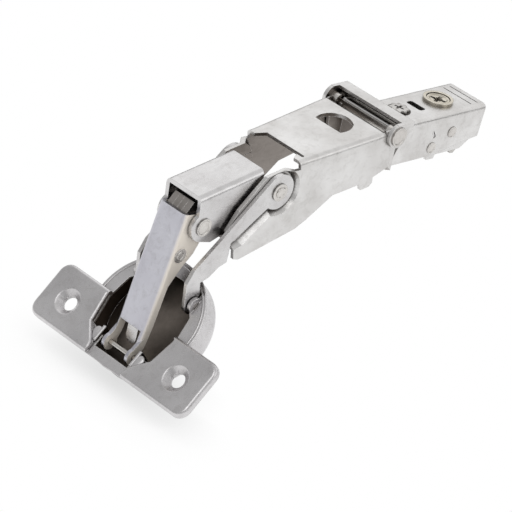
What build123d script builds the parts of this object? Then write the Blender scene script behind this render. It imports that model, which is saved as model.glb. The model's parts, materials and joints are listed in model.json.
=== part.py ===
from build123d import *
from math import atan2, cos, degrees, hypot, radians, sin
import os

os.makedirs("parts", exist_ok=True)

# Concealed cup hinge, modelled open. Lengths are millimetres and angles are degrees.
# The row frame has X along the rear channel towards the tail, Y along the pivots and
# Z away from the base plate. The origin is where the clamp screw's axis meets the seat.

# Sheet thicknesses and general fits
arm_sheet = 1.1
link_sheet = 1.1
box_sheet = 1.3
blade_sheet = 1.2
cup_sheet = 1.1
cup_wall = 0.9
bend_radius = 1.5
running_fit = 0.05
face_gap = 0.1
side_gap = 0.4
open_pivot_gap = 0.9

# Rear channel and clip base
seat_height = 13.6
channel_front_x = -24.0
channel_tail_x = 12.9
channel_width = 15.6
channel_side_drop = 10.0
clip_front_x = -34.5
clip_tail_x = 11.5
clip_front_width = 22.6
lug_drop = 2.1

# Tilt pivot of the front arm, and how far the arm leans down towards the cup
tilt_x = -30.8
tilt_z = 14.3
arm_lean = 6.8
tilt_rivet_radius = 2.0

# Front arm, in arm coordinates measured from the tilt pivot
arm_top = 1.7
arm_front_x = -35.4
arm_rear_x = -4.4
arm_front_width = 21.8
arm_rear_width = 25.0
taper_start_x = -33.0
taper_end_x = arm_rear_x - 2.0

# Pivots of the linkage in the open pose, in arm coordinates
blade_pivot = (-41.73, -6.01)
box_pivot = (-52.93, -10.58)
lobe_pivot = (-66.27, -10.59)
inner_pivot = (-55.79, -12.54)
channel_pivot = (-72.36, -18.46)
front_pin = (-85.80, -46.72)

# Cup, in cup coordinates: x from the screw hole line towards the cup's centre
flange_angle = 39.8
cup_diameter = 35.0
cup_depth = 11.7
rim_diameter = 36.4
rim_step = 1.5
rim_sheet = 0.7
wing_fold = rim_step + rim_sheet
hole_spacing = 45.0
hole_offset = 9.5
hole_radius = 2.2
dimple_radius = 4.0
dimple_depth = 1.5
wing_length = 64.0
wing_front = 8.5
wing_rear = 9.4
front_pin_x = -1.9
front_pin_depth = 2.75
rear_pin_x = 19.3
rear_pin_depth = 1.5
front_pin_radius = 0.8
rear_pin_radius = 1.2

# Widths of the links over their outer faces
stack_plates = 4
plate_thickness = 1.9
link_width = 10.6

# Rivets
blade_rivet_radius = 1.9
blade_rivet_head = 2.6
lobe_rivet_radius = 1.4
lobe_rivet_head = 2.6
channel_rivet_radius = 1.1
channel_rivet_head = 2.1
box_rivet_radius = 1.3
inner_pin_radius = 1.2

# Half widths of the layers, worked outwards from the middle
stack_half = stack_plates * plate_thickness / 2
link_half = link_width / 2
box_inner_half = link_half + side_gap
box_half = box_inner_half + box_sheet
lobe_head_height = 0.4
pad_inner_half = box_half + lobe_head_height + side_gap
pad_half = pad_inner_half + arm_sheet
blade_inner_half = pad_half + face_gap
blade_half = blade_inner_half + blade_sheet
cheek_half = arm_front_width / 2
pocket_depth = cheek_half - pad_half

lean = radians(arm_lean)
arm_along = Vector(cos(lean), 0, sin(lean))
arm_up = Vector(-sin(lean), 0, cos(lean))


def arm_point(x, z, y=0.0):
    return Vector(tilt_x, y, tilt_z) + arm_along * x + arm_up * z


def arm_side(y=0.0):
    return Plane(origin=arm_point(0, 0, y), x_dir=arm_along, z_dir=(0, -1, 0))


def arm_plan(z):
    return Plane(origin=arm_point(0, z), x_dir=arm_along, z_dir=arm_up)


def rear_side(y=0.0):
    return Plane(origin=(0, y, 0), x_dir=(1, 0, 0), z_dir=(0, -1, 0))


# The cup's own frame hangs on the front pin
flange = radians(flange_angle)
hole_line = (
    front_pin[0] - front_pin_x * cos(flange) - front_pin_depth * sin(flange),
    front_pin[1] - front_pin_x * sin(flange) + front_pin_depth * cos(flange),
)
cup_turn = flange + lean
cup_along = Vector(cos(cup_turn), 0, sin(cup_turn))
cup_up = Vector(-sin(cup_turn), 0, cos(cup_turn))
cup_origin = arm_point(*hole_line)
rear_pin = (
    hole_line[0] + rear_pin_x * cos(flange) + rear_pin_depth * sin(flange),
    hole_line[1] + rear_pin_x * sin(flange) - rear_pin_depth * cos(flange),
)


def cup_plan(z=0.0, x=0.0):
    return Plane(origin=cup_origin + cup_up * z + cup_along * x, x_dir=cup_along, z_dir=cup_up)


def cup_side(y=0.0):
    return Plane(origin=cup_origin + Vector(0, y, 0), x_dir=cup_along, z_dir=(0, -1, 0))


# Blade link outline, from its head on the arm to its eye in the cup
blade_head_radius = 5.3
blade_eye_radius = 3.1
blade_run = atan2(rear_pin[1] - blade_pivot[1], rear_pin[0] - blade_pivot[0])


blade_band = [
    (blade_pivot[0] - 3.3, blade_pivot[1] + 4.15),
    (blade_pivot[0] - 20.3, blade_pivot[1] - 8.9),
    (rear_pin[0] - 0.6, rear_pin[1] + 10.9),
    (rear_pin[0] - 3.0, rear_pin[1] + 7.2),
    (rear_pin[0] - 3.1, rear_pin[1]),
    (rear_pin[0] + 2.2, rear_pin[1] + 2.2),
    (rear_pin[0] + 1.9, rear_pin[1] + 6.2),
    (rear_pin[0] + 5.0, rear_pin[1] + 6.9),
    (rear_pin[0] + 8.4, rear_pin[1] + 9.0),
    (rear_pin[0] + 11.2, rear_pin[1] + 9.6),
    (rear_pin[0] + 12.0, rear_pin[1] + 15.4),
    (blade_pivot[0] - 3.6, blade_pivot[1] - 3.8),
]

for side, sign in (("blade_right", -1), ("blade_left", 1)):
    with BuildPart() as blade:
        with BuildSketch(arm_side(sign * blade_inner_half)):
            with Locations(blade_pivot):
                Circle(blade_head_radius)
            with Locations(rear_pin):
                Circle(blade_eye_radius)
            Polygon(*blade_band, align=None)
            with Locations(blade_pivot):
                Circle(blade_rivet_radius + running_fit, mode=Mode.SUBTRACT)
            with Locations(rear_pin):
                Circle(rear_pin_radius + running_fit, mode=Mode.SUBTRACT)
        extrude(amount=-sign * blade_sheet)
    blade.part.label = side
    export_step(blade.part, f"parts/{side}.step")

# Front arm: a folded channel whose cheeks carry a pocket for each blade
beak = [
    (arm_rear_x + 3.5, -9.8),
    (-7.0, -11.5),
    (-7.1, -13.3),
    (-8.1, -14.3),
    (-11.2, -14.5),
    (-11.8, -12.5),
    (-21.7, -13.0),
    (-30.6, -18.2),
    (-34.3, -19.9),
    (-55.6, -22.6),
    (-57.4, -21.9),
]
pad_front_x = inner_pivot[0] - 3.4
pad_margin = 3.0
pocket_margin = 1.7
boss_radius = 3.4

with BuildPart() as arm_core:
    with BuildSketch(arm_plan(arm_top - arm_sheet)):
        Polygon(
            (-75, cheek_half - arm_sheet),
            (-75, -cheek_half + arm_sheet),
            (taper_start_x, -cheek_half + arm_sheet),
            (taper_end_x, -arm_rear_width / 2 + arm_sheet),
            (10, -arm_rear_width / 2 + arm_sheet),
            (10, arm_rear_width / 2 - arm_sheet),
            (taper_end_x, arm_rear_width / 2 - arm_sheet),
            (taper_start_x, cheek_half - arm_sheet),
            align=None,
        )
    extrude(amount=-40)

with BuildPart() as hinge_arm:
    with BuildSketch(arm_plan(arm_top)):
        Polygon(
            (-70, cheek_half),
            (-70, -cheek_half),
            (taper_start_x, -cheek_half),
            (taper_end_x, -arm_rear_width / 2),
            (6, -arm_rear_width / 2),
            (6, arm_rear_width / 2),
            (taper_end_x, arm_rear_width / 2),
            (taper_start_x, cheek_half),
            align=None,
        )
    extrude(amount=-30)
    long_edges = hinge_arm.edges().filter_by(
        lambda e: abs((e.center() - arm_point(0, arm_top)).dot(arm_up)) < 0.01
        and abs(e.tangent_at(0.5).dot(arm_along)) > 0.9
    )
    fillet(long_edges, radius=bend_radius)
    add(arm_core.part, mode=Mode.SUBTRACT)
    # Pocket pressed inwards in each cheek, with sloping sides
    for sign in (-1, 1):
        for grow, depth, action in (
            (arm_sheet, pocket_depth + arm_sheet, Mode.ADD),
            (0, pocket_depth, Mode.SUBTRACT),
        ):
            with BuildSketch(arm_side(sign * cheek_half)):
                with Locations(blade_pivot):
                    Circle(blade_head_radius + pocket_margin + grow)
                Polygon(
                    (blade_pivot[0] - 2.0, blade_pivot[1] - 5.4 - grow),
                    (blade_pivot[0] - 13.0, blade_pivot[1] - 12.4 - grow),
                    (-58.6, -19.0 - grow),
                    (-72, -19.0 - grow),
                    (-72, 8),
                    (blade_pivot[0] + 2, 8),
                    align=None,
                )
            extrude(amount=sign * depth, taper=30, mode=action)
    # Side outline of the whole arm
    with BuildSketch(arm_side()):
        Polygon(
            (arm_front_x, arm_top),
            (arm_rear_x, arm_top),
            (arm_rear_x + 2, 0),
            *beak,
            (-57.8, -17.6),
            (-59.0, -16.0),
            (pad_front_x, inner_pivot[1] - 1.0),
            (box_pivot[0] - pad_margin * 0.75, box_pivot[1] + pad_margin * 0.75),
            (blade_pivot[0] - 4.0, blade_pivot[1] + 5.2),
            (blade_pivot[0] + 3.5, blade_pivot[1] + 5.6),
            (arm_front_x + 0.4, arm_top - 2.5),
            align=None,
        )
        Circle(boss_radius)
        with Locations(box_pivot):
            Circle(pad_margin)
    extrude(amount=arm_rear_width, both=True, mode=Mode.INTERSECT)
    # The rear edge is open between the two pivot ears
    with BuildSketch(arm_plan(arm_top)):
        with Locations((arm_rear_x + 6, 0)):
            Rectangle(12, arm_rear_width - 2 * arm_sheet)
    extrude(amount=-8, mode=Mode.SUBTRACT)
    # Front notch, access hole and holes for the rivets
    with BuildSketch(arm_plan(arm_top)):
        with BuildLine():
            notch_back = arm_front_x + 3.2
            Polyline(
                (arm_front_x - 9, -7.9),
                (arm_front_x, -7.9),
                (notch_back, -6.2),
                (notch_back, 6.2),
                (arm_front_x, 7.9),
                (arm_front_x - 9, 7.9),
                close=True,
            )
        make_face()
        with Locations((notch_back - 0.5, -6.9)):
            SlotOverall(4.2, 1.0, rotation=90)
        with Locations((-8.9, -3.2)):
            Rectangle(1.6, 1.4, rotation=-30)
        with BuildLine():
            hole_edge = Line((-14.8, -5.0), (-14.8, 5.0))
            ThreePointArc(hole_edge @ 1, (-7.0, 0), hole_edge @ 0)
        make_face()
    extrude(amount=-6, mode=Mode.SUBTRACT)
    with BuildSketch(arm_side()):
        with Locations(blade_pivot):
            Circle(blade_rivet_radius)
        with Locations(box_pivot):
            Circle(box_rivet_radius)
        Circle(tilt_rivet_radius + running_fit)
    extrude(amount=arm_rear_width, both=True, mode=Mode.SUBTRACT)
hinge_arm.part.label = "hinge_arm"
export_step(hinge_arm.part, "parts/hinge_arm.step")

# Rivets that hold the blades on the arm's cheeks
with BuildPart() as blade_rivets:
    for sign in (-1, 1):
        with BuildSketch(arm_side(sign * pad_inner_half)):
            with Locations(blade_pivot):
                Circle(blade_rivet_radius)
        extrude(amount=-sign * (blade_half + 0.1 - pad_inner_half))
        with BuildSketch(arm_side(sign * (blade_half + 0.1))):
            with Locations(blade_pivot):
                Circle(blade_rivet_head)
        extrude(amount=-sign * 0.4)
        with BuildSketch(arm_side(sign * (blade_half + 0.5))):
            with Locations(blade_pivot):
                Circle(blade_rivet_head * 0.6)
        extrude(amount=-sign * 0.25)
blade_rivets.part.label = "blade_rivets"
export_step(blade_rivets.part, "parts/blade_rivets.step")

# Short rivets that carry the box link between the pads
with BuildPart() as box_rivets:
    for sign in (-1, 1):
        with BuildSketch(arm_side(sign * (box_inner_half + 0.2))):
            with Locations(box_pivot):
                Circle(box_rivet_radius)
        extrude(amount=-sign * (pad_half - box_inner_half - 0.2))
box_rivets.part.label = "box_rivets"
export_step(box_rivets.part, "parts/box_rivets.step")

# Box link: a short inverted channel with a lobe at its front
box_top_rear = (-45.0, 0.4)
box_top_front = (-68.2, -0.9)
with BuildPart() as box_link:
    with BuildSketch(arm_side()):
        with BuildLine():
            Polyline(
                box_top_front,
                box_top_rear,
                (-45.6, -4.0),
                (box_pivot[0] + 2.4, box_pivot[1] - 2.4),
                (box_pivot[0], box_pivot[1] - 3.6),
                (-63.2, -16.4),
                (lobe_pivot[0] - 1.4, lobe_pivot[1] - 4.2),
                (-69.6, -9.0),
                (-68.4, -6.8),
                close=True,
            )
        make_face()
        with Locations(box_pivot):
            Circle(3.6)
        with Locations(lobe_pivot):
            Circle(4.4)
    extrude(amount=box_half, both=True)
    top_edges = box_link.edges().filter_by(
        lambda e: abs(e.tangent_at(0.5).dot(arm_along)) > 0.9
        and e.center().dot(arm_up) > arm_point(-57, -2.5).dot(arm_up)
        and abs(e.center().Y) > 1
    )
    fillet(top_edges, radius=bend_radius + 0.3)
    with BuildSketch(arm_side()):
        with BuildLine():
            Polyline(
                (box_top_front[0] - 9, box_top_front[1] - box_sheet - 0.5),
                (box_top_rear[0] + 9, box_top_rear[1] - box_sheet + 0.5),
                (box_top_rear[0] + 9, -40),
                (box_top_front[0] - 9, -40),
                close=True,
            )
        make_face()
    extrude(amount=box_inner_half, both=True, mode=Mode.SUBTRACT)
    with BuildSketch(arm_side()):
        with Locations(box_pivot):
            Circle(box_rivet_radius + open_pivot_gap)
        with Locations(lobe_pivot):
            Circle(lobe_rivet_radius + running_fit)
    extrude(amount=box_half, both=True, mode=Mode.SUBTRACT)
box_link.part.label = "box_link"
export_step(box_link.part, "parts/box_link.step")

# Channel link: a long channel, web outwards, with a forked foot on the front pin
web_top = (-71.9, -5.9)
web_foot = (-82.9, -39.2)
with BuildPart() as channel_link:
    with BuildSketch(arm_side()):
        with BuildLine():
            Polyline(
                web_top,
                web_foot,
                (-84.4, -43.0),
                (front_pin[0] - 2.4, front_pin[1] + 0.9),
                (front_pin[0] + 0.6, front_pin[1] - 2.5),
                (-82.0, -44.5),
                (-79.6, -39.0),
                (-75.6, -27.5),
                (-71.2, -22.6),
                (-67.4, -19.4),
                (lobe_pivot[0] + 1.6, lobe_pivot[1] - 4.6),
                (lobe_pivot[0] + 3.0, lobe_pivot[1]),
                (lobe_pivot[0] - 1.6, lobe_pivot[1] + 3.8),
                close=True,
            )
        make_face()
        with Locations(lobe_pivot):
            Circle(3.7)
        with Locations(front_pin):
            Circle(2.5)
    extrude(amount=link_half, both=True)
    web_edges = channel_link.edges().filter_by(
        lambda e: abs(e.length - hypot(web_top[0] - web_foot[0], web_top[1] - web_foot[1])) < 0.01
    )
    fillet(web_edges, radius=bend_radius)
    web_x = cos(atan2(web_foot[1] - web_top[1], web_foot[0] - web_top[0]))
    web_z = sin(atan2(web_foot[1] - web_top[1], web_foot[0] - web_top[0]))
    with BuildSketch(arm_side()):
        with BuildLine():
            Polyline(
                (web_top[0] - 9 * web_x - link_sheet * web_z, web_top[1] - 9 * web_z + link_sheet * web_x),
                (web_foot[0] - link_sheet * web_z, web_foot[1] + link_sheet * web_x),
                (web_foot[0] - 9, web_foot[1] - 1.5),
                (web_foot[0] - 9, web_foot[1] - 14),
                (web_foot[0] + 40, web_foot[1] - 14),
                (web_foot[0] + 40, web_top[1] + 12),
                close=True,
            )
        make_face()
    extrude(amount=link_half - link_sheet, both=True, mode=Mode.SUBTRACT)
    with BuildSketch(arm_side()):
        with Locations(lobe_pivot):
            Circle(lobe_rivet_radius)
        with Locations(channel_pivot):
            Circle(channel_rivet_radius)
        with Locations(front_pin):
            Circle(front_pin_radius + running_fit)
    extrude(amount=link_half, both=True, mode=Mode.SUBTRACT)
channel_link.part.label = "channel_link"
export_step(channel_link.part, "parts/channel_link.step")

# Rivets between the channel link and the box link's lobes
with BuildPart() as lobe_rivets:
    for sign in (-1, 1):
        with BuildSketch(arm_side(sign * (link_half - link_sheet))):
            with Locations(lobe_pivot):
                Circle(lobe_rivet_radius)
        extrude(amount=-sign * (box_half + 0.05 - link_half + link_sheet))
        with BuildSketch(arm_side(sign * (box_half + 0.05))):
            with Locations(lobe_pivot):
                Circle(lobe_rivet_head)
        extrude(amount=-sign * lobe_head_height)
lobe_rivets.part.label = "lobe_rivets"
export_step(lobe_rivets.part, "parts/lobe_rivets.step")

# Rivet through the channel link that carries the laminated inner link
with BuildPart() as channel_rivet:
    with BuildSketch(arm_side()):
        with Locations(channel_pivot):
            Circle(channel_rivet_radius)
    extrude(amount=link_half, both=True)
    for sign in (-1, 1):
        with BuildSketch(arm_side(sign * link_half)):
            with Locations(channel_pivot):
                Circle(channel_rivet_head)
        extrude(amount=-sign * 0.2)
        with BuildSketch(arm_side(sign * (link_half + 0.2))):
            with Locations(channel_pivot):
                Circle(channel_rivet_head * 0.6)
        extrude(amount=-sign * 0.15)
channel_rivet.part.label = "channel_rivet"
export_step(channel_rivet.part, "parts/channel_rivet.step")

# Sprung tongue in the channel link's foot
with BuildPart() as closing_tongue:
    with BuildSketch(arm_side()):
        Polygon(
            (web_foot[0] + 3.0, web_foot[1] + 5.4),
            (web_foot[0] + 1.15, web_foot[1] - 0.4),
            (web_foot[0] + 0.2, -45.6),
            (web_foot[0] + 0.9, -45.8),
            (web_foot[0] + 1.9, web_foot[1] - 0.4),
            (web_foot[0] + 3.75, web_foot[1] + 5.2),
            align=None,
        )
    extrude(amount=2.0, both=True)
    tongue_tip = closing_tongue.edges().filter_by(lambda e: 0.6 < e.length < 0.8 and abs(e.center().Y) > 1.9)
    fillet(tongue_tip.sort_by(Axis.Z)[:2], radius=1.5)
closing_tongue.part.label = "closing_tongue"
export_step(closing_tongue.part, "parts/closing_tongue.step")

# Laminated inner link: equal plates side by side
for index in range(stack_plates):
    plate_y = -stack_half + index * plate_thickness
    with BuildPart() as inner_plate:
        with BuildSketch(arm_side(plate_y)):
            with Locations(channel_pivot):
                Circle(1.75)
            with Locations(inner_pivot):
                Circle(3.1)
            with BuildLine():
                Polyline(
                    (channel_pivot[0] - 1.2, channel_pivot[1] + 0.8),
                    (-70.3, -6.6),
                    (-67.6, -3.9),
                    (-60.0, -3.4),
                    (inner_pivot[0] + 2.6, inner_pivot[1] + 1.8),
                    (inner_pivot[0] - 1.0, inner_pivot[1] - 2.8),
                    (-61.0, -8.4),
                    (-65.0, -6.2 + 0.6),
                    (-69.9, -9.6),
                    (channel_pivot[0] + 1.6, channel_pivot[1] + 0.6),
                    close=True,
                )
            make_face()
            with Locations(channel_pivot):
                Circle(channel_rivet_radius + running_fit, mode=Mode.SUBTRACT)
            with Locations(inner_pivot):
                Circle(inner_pin_radius + open_pivot_gap, mode=Mode.SUBTRACT)
        extrude(amount=-plate_thickness)
    inner_plate.part.label = f"inner_plate_{index + 1}"
    export_step(inner_plate.part, f"parts/inner_plate_{index + 1}.step")

# Fork between the arm's cheeks, and the pin in it for the inner link
fork_half = link_half - 0.1
fork_sheet = 1.0
fork_foot_z = -18.0
fork_foot_x = -56.2
fork_foot_width = 2.4
with BuildPart() as inner_fork:
    for sign in (-1, 1):
        with BuildSketch(arm_side(sign * fork_half)):
            with Locations(inner_pivot):
                Circle(2.4)
            Polygon(
                (inner_pivot[0] - 2.0, inner_pivot[1]),
                (fork_foot_x - fork_foot_width / 2, fork_foot_z),
                (fork_foot_x + fork_foot_width / 2, fork_foot_z),
                (inner_pivot[0] + 1.6, inner_pivot[1]),
                align=None,
            )
            with Locations(inner_pivot):
                Circle(inner_pin_radius, mode=Mode.SUBTRACT)
        extrude(amount=sign * fork_sheet)
    with BuildSketch(arm_plan(fork_foot_z)):
        with Locations((fork_foot_x, 0)):
            Rectangle(fork_foot_width, 2 * pad_inner_half)
    extrude(amount=fork_sheet)
inner_fork.part.label = "inner_fork"
export_step(inner_fork.part, "parts/inner_fork.step")

with BuildPart() as inner_pin:
    with BuildSketch(arm_side()):
        with Locations(inner_pivot):
            Circle(inner_pin_radius)
    extrude(amount=fork_half, both=True)
inner_pin.part.label = "inner_pin"
export_step(inner_pin.part, "parts/inner_pin.step")

# Deep-drawn cup with its two wings, one piece
cup_radius = cup_diameter / 2
rim_radius = rim_diameter / 2
lug_inner_front = link_half + 1.7
lug_inner_rear = blade_half + 0.3
opening_front = -5.3
bridge_half = 7.4
opening_rear = rear_pin_x + blade_eye_radius + 0.7
with BuildPart() as hinge_cup:
    # Wings, with their edges turned down
    with BuildSketch(cup_plan(0, (wing_rear - wing_front) / 2)):
        RectangleRounded(wing_front + wing_rear, wing_length, 3.5)
    extrude(amount=-wing_fold)
    wing_edges = hinge_cup.faces().sort_by(Axis(cup_origin, cup_up))[-1].edges()
    fillet(wing_edges, radius=1.0)
    with BuildSketch(cup_plan(-cup_sheet, (wing_rear - wing_front) / 2)):
        RectangleRounded(
            wing_front + wing_rear - 2 * cup_sheet, wing_length - 2 * cup_sheet, 2.6
        )
    extrude(amount=-wing_fold, mode=Mode.SUBTRACT)
    # Rim half a step below the wings, and the drawn cup
    with BuildSketch(cup_plan(-rim_step, hole_offset)):
        Circle(rim_radius)
    extrude(amount=-rim_sheet)
    with BuildSketch(cup_plan(-rim_step, hole_offset)):
        Circle(cup_radius)
    extrude(amount=-(cup_depth - rim_step))
    cup_floor = hinge_cup.faces().sort_by(Axis(cup_origin, cup_up))[0]
    fillet(cup_floor.edges(), radius=2.8)
    with BuildSketch(cup_plan(-rim_step - rim_sheet, hole_offset)):
        Circle(cup_radius - cup_wall)
    extrude(amount=-(cup_depth - rim_step - rim_sheet - cup_wall), mode=Mode.SUBTRACT)
    # The wings stop at a lower bridge in front of the opening
    with BuildSketch(cup_plan(1)):
        Polygon(
            (-wing_front - 1, bridge_half),
            (opening_front, bridge_half),
            (-0.4, 12.0),
            (-0.4, -12.0),
            (opening_front, -bridge_half),
            (-wing_front - 1, -bridge_half),
            align=None,
        )
    extrude(amount=-(1 + rim_step), mode=Mode.SUBTRACT)
    with BuildSketch(cup_plan(-rim_step, (opening_front - wing_front) / 2)):
        Rectangle(opening_front + wing_front, 2 * bridge_half + 2)
    extrude(amount=-rim_sheet)
    # Opening through the wings' middle and the rim
    with BuildSketch(cup_plan(1)):
        Polygon(
            (opening_front, 6.6),
            (-2.0, 6.6),
            (-0.4, 12.0),
            (8.2, 13.6),
            (15.6, 12.4),
            (17.4, lug_inner_rear),
            (opening_rear, lug_inner_rear),
            (opening_rear, -lug_inner_rear),
            (17.4, -lug_inner_rear),
            (15.6, -12.4),
            (8.2, -13.6),
            (-0.4, -12.0),
            (-2.0, -6.6),
            (opening_front, -6.6),
            align=None,
        )
    extrude(amount=-(1 + rim_step + rim_sheet + 0.1), mode=Mode.SUBTRACT)
    # Lugs that hold the two pins
    for sign in (-1, 1):
        with BuildSketch(cup_side(sign * lug_inner_front)):
            Polygon(
                (front_pin_x - 2.6, -0.4),
                (front_pin_x + 2.6, -0.4),
                (front_pin_x + 2.0, -front_pin_depth - 2.4),
                (front_pin_x - 2.0, -front_pin_depth - 2.4),
                align=None,
            )
        extrude(amount=-sign * cup_sheet)
        with BuildSketch(cup_side(sign * lug_inner_rear)):
            Polygon(
                (rear_pin_x - 2.4, -rim_step - 0.3),
                (rear_pin_x + 2.4, -rim_step - 0.3),
                (rear_pin_x + 1.9, -rear_pin_depth - 3.6),
                (rear_pin_x - 1.9, -rear_pin_depth - 3.6),
                align=None,
            )
            with Locations((rear_pin_x, -rear_pin_depth)):
                Circle(2.4)
        extrude(amount=-sign * cup_sheet)
    # Countersunk dimples for the screws
    for sign in (-1, 1):
        with Locations(cup_plan(0) * Pos(0, sign * hole_spacing / 2, -(cup_sheet + dimple_depth) / 2)):
            Cone(hole_radius + cup_sheet, dimple_radius + cup_sheet, cup_sheet + dimple_depth)
        with Locations(cup_plan(0) * Pos(0, sign * hole_spacing / 2, -dimple_depth / 2)):
            Cone(hole_radius, dimple_radius, dimple_depth, mode=Mode.SUBTRACT)
        with Locations(cup_plan(0) * Pos(0, sign * hole_spacing / 2, -dimple_depth)):
            Cylinder(hole_radius, 6, mode=Mode.SUBTRACT)
    with BuildSketch(cup_side()):
        with Locations((front_pin_x, -front_pin_depth)):
            Circle(front_pin_radius)
    extrude(amount=lug_inner_front + cup_sheet, both=True, mode=Mode.SUBTRACT)
    with BuildSketch(cup_side()):
        with Locations((rear_pin_x, -rear_pin_depth)):
            Circle(rear_pin_radius)
    extrude(amount=lug_inner_rear + cup_sheet, both=True, mode=Mode.SUBTRACT)
hinge_cup.part.label = "hinge_cup"
export_step(hinge_cup.part, "parts/hinge_cup.step")

with BuildPart() as front_cup_pin:
    with BuildSketch(cup_side()):
        with Locations((front_pin_x, -front_pin_depth)):
            Circle(front_pin_radius)
    extrude(amount=lug_inner_front + cup_sheet, both=True)
front_cup_pin.part.label = "front_cup_pin"
export_step(front_cup_pin.part, "parts/front_cup_pin.step")

with BuildPart() as rear_cup_pin:
    for sign in (-1, 1):
        with BuildSketch(cup_side(sign * (blade_inner_half - 0.1))):
            with Locations((rear_pin_x, -rear_pin_depth)):
                Circle(rear_pin_radius)
        extrude(amount=-sign * (lug_inner_rear + cup_sheet - blade_inner_half + 0.1))
        with BuildSketch(cup_side(sign * (blade_inner_half - 0.1))):
            with Locations((rear_pin_x, -rear_pin_depth)):
                Circle(rear_pin_radius + 0.8)
        extrude(amount=sign * 0.5)
rear_cup_pin.part.label = "rear_cup_pin"
export_step(rear_cup_pin.part, "parts/rear_cup_pin.step")

# Clip base: two side plates under the rear channel, set wider apart at the tilt pivot
rear_rivet_spot = (-7.8, 3.5)
upper_rivet_spot = (0.0, 7.1)
hook_slot_spot = (-7.9, 7.7)
rear_rivet_radius = 1.2
lever_pivot = (8.4, 5.4)
lever_pin_radius = 0.9
channel_half = channel_width / 2
base_half = channel_half - arm_sheet - face_gap
ear_half = arm_rear_width / 2 - arm_sheet - 0.3
joggle_rear_x = channel_front_x - 1.3
joggle_front_x = joggle_rear_x - 2.6
with BuildPart() as clip_base:
    with BuildSketch(Plane.XY.offset(seat_height - arm_sheet - face_gap)):
        for grow, action in ((0, Mode.ADD), (-arm_sheet, Mode.SUBTRACT)):
            tail = clip_tail_x - 5 * grow
            nose = clip_front_x + 5 * grow
            Polygon(
                (tail, base_half + grow),
                (joggle_rear_x, base_half + grow),
                (joggle_front_x, ear_half + grow),
                (nose, ear_half + grow),
                (nose, -ear_half - grow),
                (joggle_front_x, -ear_half - grow),
                (joggle_rear_x, -base_half - grow),
                (tail, -base_half - grow),
                align=None,
                mode=action,
            )
    extrude(amount=-seat_height)
    with BuildSketch(Plane.XY.offset(seat_height - arm_sheet - face_gap)):
        with Locations(((clip_tail_x + channel_front_x) / 2, 0)):
            Rectangle(clip_tail_x - channel_front_x - 2, 2 * base_half)
    extrude(amount=-arm_sheet)
    with BuildSketch(rear_side()):
        Polygon(
            (clip_tail_x, seat_height - arm_sheet - face_gap),
            (clip_tail_x, 3.4),
            (6.6, 0),
            (-3.9, 0),
            (-4.3, -lug_drop * 0.7),
            (-5.2, -lug_drop),
            (-6.4, -lug_drop),
            (-7.2, -lug_drop * 0.6),
            (-7.2, 0),
            (-26.0, 0),
            (clip_front_x + 1.0, tilt_z - 7.0),
            (tilt_x - 3.8, tilt_z),
            (tilt_x - 2.6, tilt_z + 2.9),
            (tilt_x + 2.6, tilt_z + 2.9),
            (joggle_rear_x, seat_height - arm_sheet - face_gap),
            align=None,
        )
    extrude(amount=30, both=True, mode=Mode.INTERSECT)
    with BuildSketch(Plane.XY.offset(seat_height)):
        Circle(3.0)
        with Locations((-9.3, 0)):
            Rectangle(3.4, 7.4)
        with Locations((-16.6, 0)):
            Circle(2.0)
    extrude(amount=-4, mode=Mode.SUBTRACT)
    with BuildSketch(rear_side()):
        with Locations((tilt_x, tilt_z)):
            Circle(tilt_rivet_radius)
        with Locations(rear_rivet_spot, upper_rivet_spot):
            Circle(rear_rivet_radius)
        with Locations(lever_pivot):
            Circle(lever_pin_radius)
    extrude(amount=30, both=True, mode=Mode.SUBTRACT)
clip_base.part.label = "clip_base"
export_step(clip_base.part, "parts/clip_base.step")

# Rear channel over the clip base
screw_head_radius = 4.3
cam_x = -16.6
slot_x = -9.3
with BuildPart() as rear_channel:
    with BuildSketch(Plane.XY.offset(seat_height)):
        with Locations(((channel_front_x + channel_tail_x) / 2, 0)):
            Rectangle(channel_tail_x - channel_front_x + 4, channel_width)
    extrude(amount=-channel_side_drop - 3)
    upper = rear_channel.edges().filter_by(Axis.X).group_by(Axis.Z)[-1]
    fillet(upper, radius=bend_radius)
    with BuildSketch(Plane.XY.offset(seat_height - arm_sheet)):
        with Locations(((channel_front_x + channel_tail_x) / 2, 0)):
            Rectangle(channel_tail_x - channel_front_x + 10, channel_width - 2 * arm_sheet)
    extrude(amount=-20, mode=Mode.SUBTRACT)
    with BuildSketch(rear_side()):
        Polygon(
            (channel_tail_x, seat_height),
            (channel_tail_x - 0.9, seat_height - channel_side_drop),
            (4.0, 2.8),
            (-6.0, 0.9),
            (channel_front_x - 1.0, 0.9),
            (channel_front_x + 4.0, seat_height - 2.0),
            (channel_front_x + 4.0, seat_height),
            align=None,
        )
    extrude(amount=channel_width, both=True, mode=Mode.INTERSECT)
    with BuildSketch(Plane.XY.offset(seat_height)):
        Circle(3.6)
        with Locations((slot_x, 0)):
            RectangleRounded(2.4, 6.0, 0.7)
        with Locations((cam_x, 0)):
            Circle(2.3)
    extrude(amount=-3, mode=Mode.SUBTRACT)
    with BuildSketch(rear_side()):
        with Locations(rear_rivet_spot, upper_rivet_spot):
            Circle(rear_rivet_radius)
        with Locations(hook_slot_spot):
            Rectangle(2.4, 0.9, rotation=-60)
    extrude(amount=channel_width, both=True, mode=Mode.SUBTRACT)
    # Two marks across the top show how far the channel may move
    with BuildSketch(Plane.XY.offset(seat_height)):
        with Locations((8.4, 0), (11.1, 0)):
            Rectangle(0.35, 11.2)
    extrude(amount=-0.25, mode=Mode.SUBTRACT)
rear_channel.part.label = "rear_channel"
export_step(rear_channel.part, "parts/rear_channel.step")

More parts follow.
